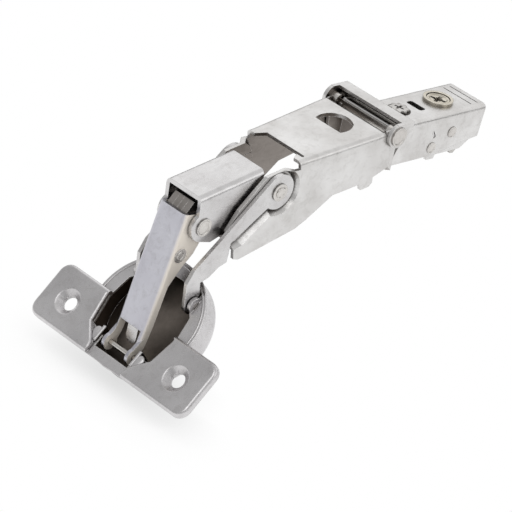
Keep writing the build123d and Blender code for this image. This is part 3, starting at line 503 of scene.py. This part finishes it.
# Under each wing's inner edge the sheet goes on down to the rim.
skirtForm = {
    "path": [(-7.4, 7.85), (-5.12, 7.85), (-0.2, 12.45), (8.1, 13.98)],
    "across": (-0.43, 0.90), "half": 0.4, "top": -0.85, "foot": -1.56, "round": 0.00008,
}
for side, sideName in ((1, "Left"), (-1, "Right")):
    path = [cupPoint(u, side * v, 0) for u, v in skirtForm["path"]]
    deselectAll()
    bpy.ops.mesh.primitive_plane_add(size=0.001)
    skirt = bpy.context.object
    skirt.name = "wingSkirt" + sideName
    # the plane stands up as the wall's cross-section, which is then drawn along the path
    startU, startV = skirtForm["path"][0]
    acrossU, acrossV = (skirtForm["half"] * q for q in skirtForm["across"])
    corners = [(sign, skirtForm[level]) for level in ("foot", "top") for sign in (-1, 1)]
    for vertex, (sign, up) in zip(skirt.data.vertices, corners):
        vertex.co = cupPoint(startU + sign * acrossU, side * (startV + sign * acrossV), up)
    bpy.ops.object.mode_set(mode="EDIT")
    bpy.ops.mesh.select_all(action="SELECT")
    for here, there in zip(path, path[1:]):
        bpy.ops.mesh.extrude_region_move(TRANSFORM_OT_translate={"value": there - here})
    bpy.ops.mesh.select_all(action="SELECT")
    bpy.ops.mesh.normals_make_consistent(inside=False)
    bpy.ops.object.mode_set(mode="OBJECT")
    roundAll(skirt, skirtForm["round"], 2)
    giveFinish(skirt, "deepDrawnNickel")
    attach(skirt, "cup")
print("wing skirts made")

# Between skirt and pin lug the sheet dips in a rounded saddle.
saddleForm = {
    "outline": [(-5.7, 7.6), (-4.2, 6.9), (-1.2, 11.9), (1.2, 7.5)],
    "top": -0.40, "thick": 1.3, "levels": 3,
}
for side, sideName in ((1, "Left"), (-1, "Right")):
    deselectAll()
    bpy.ops.mesh.primitive_plane_add(size=0.001)
    saddle = bpy.context.object
    saddle.name = "lugSaddle" + sideName
    for vertex, (u, v) in zip(saddle.data.vertices, saddleForm["outline"]):
        vertex.co = cupPoint(u, side * v, saddleForm["top"])
    bpy.ops.object.mode_set(mode="EDIT")
    bpy.ops.mesh.select_all(action="SELECT")
    bpy.ops.mesh.extrude_region_move(
        TRANSFORM_OT_translate={"value": cupUp * (-saddleForm["thick"] / 1000)})
    bpy.ops.mesh.select_all(action="SELECT")
    bpy.ops.mesh.normals_make_consistent(inside=False)
    bpy.ops.object.mode_set(mode="OBJECT")
    soften = saddle.modifiers.new("soften", "SUBSURF")
    soften.levels = soften.render_levels = saddleForm["levels"]
    bpy.ops.object.modifier_apply(modifier="soften")
    bpy.ops.object.shade_smooth()
    giveFinish(saddle, "deepDrawnNickel")
    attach(saddle, "cup")

# A low bead runs round the rim, where the blank was held while the cup was drawn. It stops
# short of the bridge.
beadForm = {"radius": 0.0172, "half": 0.00032, "flat": 0.7, "segments": (144, 10), "stop": 2.0}
deselectAll()
bpy.ops.mesh.primitive_torus_add(
    major_segments=beadForm["segments"][0], minor_segments=beadForm["segments"][1],
    major_radius=beadForm["radius"], minor_radius=beadForm["half"],
    location=cupPoint(cupForm["rimCentre"], 0, cupForm["rimLevel"]),
    rotation=(0, math.atan2(cupUp.x, cupUp.z), 0))
rimBead = bpy.context.object
rimBead.name = "rimBead"
for vertex in rimBead.data.vertices:
    vertex.co.z *= beadForm["flat"]
bpy.ops.object.transform_apply(location=True, rotation=True, scale=True)
bpy.ops.object.mode_set(mode="EDIT")
bpy.ops.mesh.select_all(action="SELECT")
bpy.ops.mesh.bisect(plane_co=cupPoint(beadForm["stop"], 0, 0), plane_no=cupAlong,
                    use_fill=True, clear_inner=True)
bpy.ops.object.mode_set(mode="OBJECT")
bpy.ops.object.shade_smooth_by_angle(angle=math.radians(50))
giveFinish(rimBead, "deepDrawnNickel")
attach(rimBead, "cup")
print("saddles and bead made")

# Rivet heads are closed by a hollow punch, which leaves a ring and a shallow centre. The widths
# and depths are shares of each head's own radius.
rivetForm = {"margin": 0.15, "groove": 0.08, "land": 0.15, "rise": 0.07, "centre": 0.6,
             "capDepth": 0.0001, "capArea": 1e-6}
rivetNodes = {
    "tilt_rivets": "rear_part", "rear_rivets": "rear_part", "blade_rivets": "arm",
    "box_rivets": "arm", "lobe_rivets": "channel", "channel_rivet": "channel",
    "rear_cup_pin": "cup",
}
for node, body in rivetNodes.items():
    pieceName = node.replace("_", " ").title().replace(" ", "") + "Punched"
    heads = joinedCopy(node, pieceName, "turnedSteelPin")
    reach = max(abs(v.co.y) for v in heads.data.vertices)
    bpy.ops.object.mode_set(mode="EDIT")
    bpy.ops.mesh.select_mode(type="FACE")
    bpy.ops.object.mode_set(mode="OBJECT")
    caps = [face for face in heads.data.polygons
            if abs(face.normal.y) > 0.99 and abs(face.center.y) > reach - rivetForm["capDepth"]
            and face.area > rivetForm["capArea"]]
    for face in caps:
        face.select = True
    headRadius = math.sqrt(sum(face.area for face in caps) / max(len(caps), 1) / math.pi)
    print(node, "caps punched:", len(caps))
    bpy.ops.object.mode_set(mode="EDIT")
    for width, depth in ((rivetForm["margin"], 0), (rivetForm["groove"], -rivetForm["rise"]),
                         (rivetForm["land"], 0),
                         (rivetForm["groove"], rivetForm["rise"] * rivetForm["centre"])):
        bpy.ops.mesh.inset(thickness=width * headRadius, depth=depth * headRadius)
    bpy.ops.mesh.select_all(action="DESELECT")
    bpy.ops.object.mode_set(mode="OBJECT")
    evenLight(heads)
    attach(heads, body)
    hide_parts(node)

# Clamp screw: turned dish head with a cross recess, threaded shank
screwForm = {
    "head": 0.0035, "headTop": 0.0143, "headFoot": 0.0125, "round": 0.0002,
    "lip": 0.00045, "dish": 0.0005, "dishDrop": 0.00032,
    "slotDepth": 0.0018, "slotOver": 0.0002, "slotFlare": 0.7,
    # turn in degrees, length, width, and what is left of the length at the slot's foot
    "slots": [(20, 0.0052, 0.00125, 0.72), (110, 0.0052, 0.00125, 0.72),
              (65, 0.0034, 0.00055, 0.6), (155, 0.0034, 0.00055, 0.6)],
    "thread": 0.0029, "root": 0.00235, "pitch": 0.0011, "crest": (0.42, 0.58), "turnSteps": 36,
    "shankFoot": 0.0016, "coreWider": 0.00004, "coreLonger": 0.0002, "coreRound": 0.0001,
}
headFoot, shankFoot, pitch = (screwForm[k] for k in ("headFoot", "shankFoot", "pitch"))
deselectAll()
bpy.ops.mesh.primitive_cylinder_add(
    vertices=72, radius=screwForm["head"], depth=screwForm["headTop"] - headFoot,
    location=(0, 0, (screwForm["headTop"] + headFoot) / 2))
screwHead = bpy.context.object
screwHead.name = "clampScrewDished"
topFaces(screwHead, screwForm["headTop"])
bpy.ops.mesh.bevel(offset=screwForm["round"], segments=3, affect="EDGES")
bpy.ops.object.mode_set(mode="OBJECT")
topFaces(screwHead, screwForm["headTop"])
bpy.ops.mesh.inset(thickness=screwForm["lip"], depth=0)
bpy.ops.mesh.inset(thickness=screwForm["dish"], depth=-screwForm["dishDrop"])
bpy.ops.object.mode_set(mode="OBJECT")
slotTop = screwForm["headTop"] + screwForm["slotOver"]
for turn, length, width, footShare in screwForm["slots"]:
    deselectAll()
    bpy.ops.mesh.primitive_cube_add(
        size=1, location=(0, 0, slotTop - screwForm["slotDepth"] / 2),
        rotation=(0, 0, math.radians(turn)), scale=(length, width, screwForm["slotDepth"]))
    slotCutter = bpy.context.object
    for vertex in slotCutter.data.vertices:
        if vertex.co.z < 0:
            vertex.co.x *= footShare
            vertex.co.y *= screwForm["slotFlare"]
    carve(screwHead, slotCutter)

# The thread's outline is an open line of four points, turned and raised by the Screw modifier.
deselectAll()
bpy.ops.mesh.primitive_plane_add(size=0.001)
shank = bpy.context.object
bpy.ops.object.mode_set(mode="EDIT")
bpy.ops.mesh.select_all(action="SELECT")
bpy.ops.mesh.delete(type="ONLY_FACE")
bpy.ops.object.mode_set(mode="OBJECT")
outline = [(screwForm["root"], 0), (screwForm["thread"], pitch * screwForm["crest"][0]),
           (screwForm["thread"], pitch * screwForm["crest"][1]), (screwForm["root"], pitch)]
# the plane's corners run 0-1-3-2 round its rim, and the edge from 2 to 0 is taken out
for index, (away, up) in zip((0, 1, 3, 2), outline):
    shank.data.vertices[index].co = (away, 0, shankFoot + up)
bpy.ops.object.mode_set(mode="EDIT")
bpy.ops.mesh.select_mode(type="EDGE")
bpy.ops.mesh.select_all(action="DESELECT")
bpy.ops.object.mode_set(mode="OBJECT")
for edge in shank.data.edges:
    edge.select = set(edge.vertices) == {0, 2}
bpy.ops.object.mode_set(mode="EDIT")
bpy.ops.mesh.delete(type="EDGE")
bpy.ops.object.mode_set(mode="OBJECT")
threads = shank.modifiers.new("threads", "SCREW")
threads.axis = "Z"
threads.screw_offset = pitch
threads.iterations = int((headFoot - shankFoot) / pitch)
threads.steps = threads.render_steps = screwForm["turnSteps"]
threads.use_merge_vertices = True
pickOnly(shank)
bpy.ops.object.modifier_apply(modifier="threads")
bpy.ops.object.mode_set(mode="EDIT")
bpy.ops.mesh.select_all(action="SELECT")
bpy.ops.mesh.remove_doubles(threshold=1e-7)
bpy.ops.mesh.normals_make_consistent(inside=False)
bpy.ops.object.mode_set(mode="OBJECT")
deselectAll()
bpy.ops.mesh.primitive_cylinder_add(
    vertices=48, radius=screwForm["root"] + screwForm["coreWider"],
    depth=headFoot - shankFoot + screwForm["coreLonger"],
    location=(0, 0, (headFoot + shankFoot) / 2))
core = bpy.context.object
roundAll(core, screwForm["coreRound"], 2)
joinInto(screwHead, (core, shank))
settle(screwHead)
giveFinish(screwHead, "headedNickelScrew")
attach(screwHead, "screw")
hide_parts("clamp_screw")
print("screw made, faces:", len(screwHead.data.polygons))

# Depth cam: eight lobes round a small cross socket, on its own stem under the channel
camForm = {
    "place": -0.0166, "foot": 0.01370, "top": 0.0145, "round": 0.00018,
    "tip": 0.0031, "valley": 0.0022, "flank": 0.52, "lobes": 8, "lobePoints": 4,
    "socket": 0.0030, "socketWide": 0.0007, "socketDepth": 0.0006, "socketOver": 0.0001,
    "socketTurns": (12, 102), "stemCut": (0.009, 0.009, 0.002),
}
rimPoints = camForm["lobes"] * camForm["lobePoints"]
deselectAll()
bpy.ops.mesh.primitive_cylinder_add(
    vertices=rimPoints, radius=camForm["tip"], depth=camForm["top"] - camForm["foot"],
    location=(camForm["place"], 0, (camForm["top"] + camForm["foot"]) / 2))
camStar = bpy.context.object
camStar.name = "depthCamLobed"
flankReach = (camForm["tip"] + camForm["valley"]) * camForm["flank"]
lobeReach = (camForm["tip"], flankReach, camForm["valley"], flankReach)
for vertex in camStar.data.vertices:
    turn = math.atan2(vertex.co.y, vertex.co.x)
    step = round(turn / (2 * math.pi) * rimPoints) % camForm["lobePoints"]
    flat = Vector((vertex.co.x, vertex.co.y)).normalized() * lobeReach[step]
    vertex.co.x, vertex.co.y = flat
topFaces(camStar, camForm["top"])
bpy.ops.mesh.bevel(offset=camForm["round"], segments=3, affect="EDGES")
bpy.ops.object.mode_set(mode="OBJECT")
socketPlace = camForm["top"] + camForm["socketOver"] - camForm["socketDepth"] / 2
for turn in camForm["socketTurns"]:
    deselectAll()
    bpy.ops.mesh.primitive_cube_add(
        size=1, location=(camForm["place"], 0, socketPlace), rotation=(0, 0, math.radians(turn)),
        scale=(camForm["socket"], camForm["socketWide"], camForm["socketDepth"]))
    carve(camStar, bpy.context.object)
stem = joinedCopy("depth_cam", "camStem", "zincDieCast")
deselectAll()
bpy.ops.mesh.primitive_cube_add(
    size=1, location=(camForm["place"], 0, camForm["foot"] + camForm["stemCut"][2] / 2),
    scale=camForm["stemCut"])
carve(stem, bpy.context.object)
settle(camStar)
joinInto(camStar, (stem,))
giveFinish(camStar, "zincDieCast")
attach(camStar, "cam")
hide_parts("depth_cam")
print("cam made")

# Round the cam a thin, nearly black ring lies on the channel: painted shade for the gap round the
# lobes
shadowRingForm = {"outer": 0.0036, "inner": 0.0019, "floor": 0.01358, "top": 0.01366, "cut": 0.002}
deselectAll()
bpy.ops.mesh.primitive_cylinder_add(
    vertices=64, radius=shadowRingForm["outer"], depth=shadowRingForm["top"] - shadowRingForm["floor"],
    location=(camForm["place"], 0, (shadowRingForm["top"] + shadowRingForm["floor"]) / 2))
camShadowRing = bpy.context.object
camShadowRing.name = "camGapShadowRing"
deselectAll()
bpy.ops.mesh.primitive_cylinder_add(
    vertices=64, radius=shadowRingForm["inner"], depth=shadowRingForm["cut"],
    location=(camForm["place"], 0, shadowRingForm["top"]))
carve(camShadowRing, bpy.context.object)
settle(camShadowRing)
giveFinish(camShadowRing, "camGapShadeFinish")
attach(camShadowRing, "rear_part")

# The clip's hook shows in a slanted slot on each side of the channel.
tabForm = {
    "along": -0.0079, "out": 0.00725, "up": 0.0077, "size": (0.00225, 0.0009, 0.00078),
    "slant": 60, "round": 0.0002,
}
for side, sideName in ((1, "Left"), (-1, "Right")):
    deselectAll()
    bpy.ops.mesh.primitive_cube_add(
        size=1, location=(tabForm["along"], side * tabForm["out"], tabForm["up"]),
        rotation=(0, math.radians(tabForm["slant"]), 0), scale=tabForm["size"])
    hookTab = bpy.context.object
    hookTab.name = "hookTab" + sideName
    bpy.ops.object.transform_apply(location=False, rotation=False, scale=True)
    roundAll(hookTab, tabForm["round"], 3)
    settle(hookTab)
    giveFinish(hookTab, "stampedNickelLink")
    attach(hookTab, "rear_part")

# Two spring leaves stand in the trough behind the arm, as thin bright lines.
leafForm = {
    "half": 0.0106, "thick": 0.00026, "round": 0.00008,
    "leaves": [("Front", -0.0311, 0.0131, 0.0154), ("Rear", -0.0286, 0.0139, 0.0163)],
}
for leafName, along, low, high in leafForm["leaves"]:
    deselectAll()
    bpy.ops.mesh.primitive_cube_add(
        size=1, location=(along, 0, (low + high) / 2),
        scale=(leafForm["thick"], leafForm["half"] * 2, high - low))
    leaf = bpy.context.object
    leaf.name = "springLeaf" + leafName
    bpy.ops.object.transform_apply(location=True, rotation=True, scale=True)
    roundAll(leaf, leafForm["round"], 2)
    settle(leaf)
    giveFinish(leaf, "turnedSteelPin")
    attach(leaf, "rear_part")
print("seat, hook tabs and spring leaves made")

# White paper under the hinge. It is plain white to the eye, less a soft shadow close under the
# metal, and diffuse paper to the light that it bounces.
sweepSetup = {
    "size": 3.0, "drop": 0.0006, "paper": "#f4f4f4", "shadowReach": 0.016, "shadowLevel": 0.72,
}
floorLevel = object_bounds()[0][2] - sweepSetup["drop"]
bpy.ops.mesh.primitive_plane_add(size=sweepSetup["size"], location=(0, 0, floorLevel))
sweep = bpy.context.object
sweep.name = "whiteSweep"
sweepPaper = bpy.data.materials.new("whitePaperSweep")
sweepPaper.use_nodes = True
paperTree = sweepPaper.node_tree
paperTree.nodes.clear()
rays = addNode(paperTree, "ShaderNodeLightPath")
clearRays = addNode(paperTree, "ShaderNodeMath", {"operation": "MAXIMUM"}, {
    0: rays.outputs["Is Camera Ray"], 1: rays.outputs["Is Transmission Ray"]})
seen = addNode(paperTree, "ShaderNodeMath", {"operation": "MAXIMUM"}, {
    0: clearRays.outputs["Value"], 1: rays.outputs["Is Glossy Ray"]})
paper = addNode(paperTree, "ShaderNodeBsdfDiffuse", {"Color": paint(sweepSetup["paper"])})
shadow = addNode(paperTree, "ShaderNodeAmbientOcclusion", {
    "samples": 8, "Distance": sweepSetup["shadowReach"]})
shadowLevel = addNode(paperTree, "ShaderNodeMapRange", {
    "From Min": 0.2, "From Max": 0.95, "To Min": sweepSetup["shadowLevel"], "To Max": 1.0,
}, {"Value": shadow.outputs["AO"]})
glow = addNode(paperTree, "ShaderNodeEmission", {"Color": (1, 1, 1, 1)},
               {"Strength": shadowLevel.outputs["Result"]})
bright = addNode(paperTree, "ShaderNodeMixShader", None, {
    0: seen.outputs["Value"], 1: paper.outputs["BSDF"], 2: glow.outputs["Emission"]})
# from below the paper is left out, so that the hinge's underside can be looked at
under = addNode(paperTree, "ShaderNodeNewGeometry")
nothing = addNode(paperTree, "ShaderNodeBsdfTransparent")
sided = addNode(paperTree, "ShaderNodeMixShader", None, {
    0: under.outputs["Backfacing"], 1: bright.outputs["Shader"], 2: nothing.outputs["BSDF"]})
addNode(paperTree, "ShaderNodeOutputMaterial", None, {"Surface": sided.outputs["Shader"]})
sweep.data.materials.append(sweepPaper)

# soft studio light: a large key above left, a weaker fill from the front, a faint one behind
lampSetup = {
    "keyLight": {"place": (-0.75, -0.25, 0.95), "size": 0.9, "power": 2.6},
    "fillLight": {"place": (0.25, -1.0, 0.45), "size": 0.7, "power": 1.2},
    "backLight": {"place": (0.35, 0.8, 0.8), "size": 0.7, "power": 0.45},
}
hingeMiddle = Vector((-0.05, 0, 0))
for name, lamp in lampSetup.items():
    bpy.ops.object.light_add(type="AREA", location=lamp["place"])
    light = bpy.context.object
    light.name = name
    light.data.size = lamp["size"]
    light.data.energy = lamp["power"]
    aim = hingeMiddle - Vector(lamp["place"])
    light.rotation_euler = aim.to_track_quat("-Z", "Y").to_euler()

# The room is white to the eye. The metal sees a dim room on the left that brightens to the
# right, with a dark gap between table and wall there, which rounded folds show as a line.
roomSetup = {
    "strength": 1.42, "gap": (0.10, 0.30), "gapLevel": 0.08, "gapSide": (0.1, 0.5),
    "walls": [(0.00, 0.36), (0.12, 0.33), (0.27, 0.38), (0.50, 0.44), (0.76, 0.58), (0.86, 0.77),
              (1.00, 0.75)],
}
room = bpy.data.worlds.new("studioRoom")
room.use_nodes = True
scene.world = room
roomTree = room.node_tree
roomTree.nodes.clear()
around = addNode(roomTree, "ShaderNodeTexCoord")
across = addNode(roomTree, "ShaderNodeSeparateXYZ", None, {"Vector": around.outputs["Generated"]})
span = addNode(roomTree, "ShaderNodeMapRange", {"From Min": -1.0, "From Max": 1.0},
               {"Value": across.outputs["X"]})
walls = addNode(roomTree, "ShaderNodeValToRGB", None, {"Fac": span.outputs["Result"]})
walls.color_ramp.interpolation = "EASE"
for at, _ in roomSetup["walls"][1:-1]:
    walls.color_ramp.elements.new(at)
for stop, (at, grey) in zip(walls.color_ramp.elements, roomSetup["walls"]):
    stop.position = at
    stop.color = (grey, grey, grey, 1)
height = addNode(roomTree, "ShaderNodeMath", {"operation": "ABSOLUTE"}, {0: across.outputs["Z"]})
gap = addNode(roomTree, "ShaderNodeMapRange", {
    "From Min": roomSetup["gap"][0], "From Max": roomSetup["gap"][1],
    "To Min": roomSetup["gapLevel"],
}, {"Value": height.outputs["Value"]})
right = addNode(roomTree, "ShaderNodeMapRange", {
    "From Min": roomSetup["gapSide"][0], "From Max": roomSetup["gapSide"][1],
}, {"Value": across.outputs["X"]})
gapShare = addNode(roomTree, "ShaderNodeMix", {"data_type": "FLOAT", 2: 1.0}, {
    0: right.outputs["Result"], 3: gap.outputs["Result"]})
dimmed = addNode(roomTree, "ShaderNodeVectorMath", {"operation": "SCALE"}, {
    0: walls.outputs["Color"], "Scale": gapShare.outputs[0]})
roomGlow = addNode(roomTree, "ShaderNodeBackground", {"Strength": roomSetup["strength"]},
                   {"Color": dimmed.outputs["Vector"]})
whiteGlow = addNode(roomTree, "ShaderNodeBackground", {"Color": (1, 1, 1, 1), "Strength": 1.0})
roomRays = addNode(roomTree, "ShaderNodeLightPath")
roomMix = addNode(roomTree, "ShaderNodeMixShader", None, {
    0: roomRays.outputs["Is Camera Ray"],
    1: roomGlow.outputs["Background"], 2: whiteGlow.outputs["Background"]})
addNode(roomTree, "ShaderNodeOutputWorld", None, {"Surface": roomMix.outputs["Shader"]})
print("stage lit")
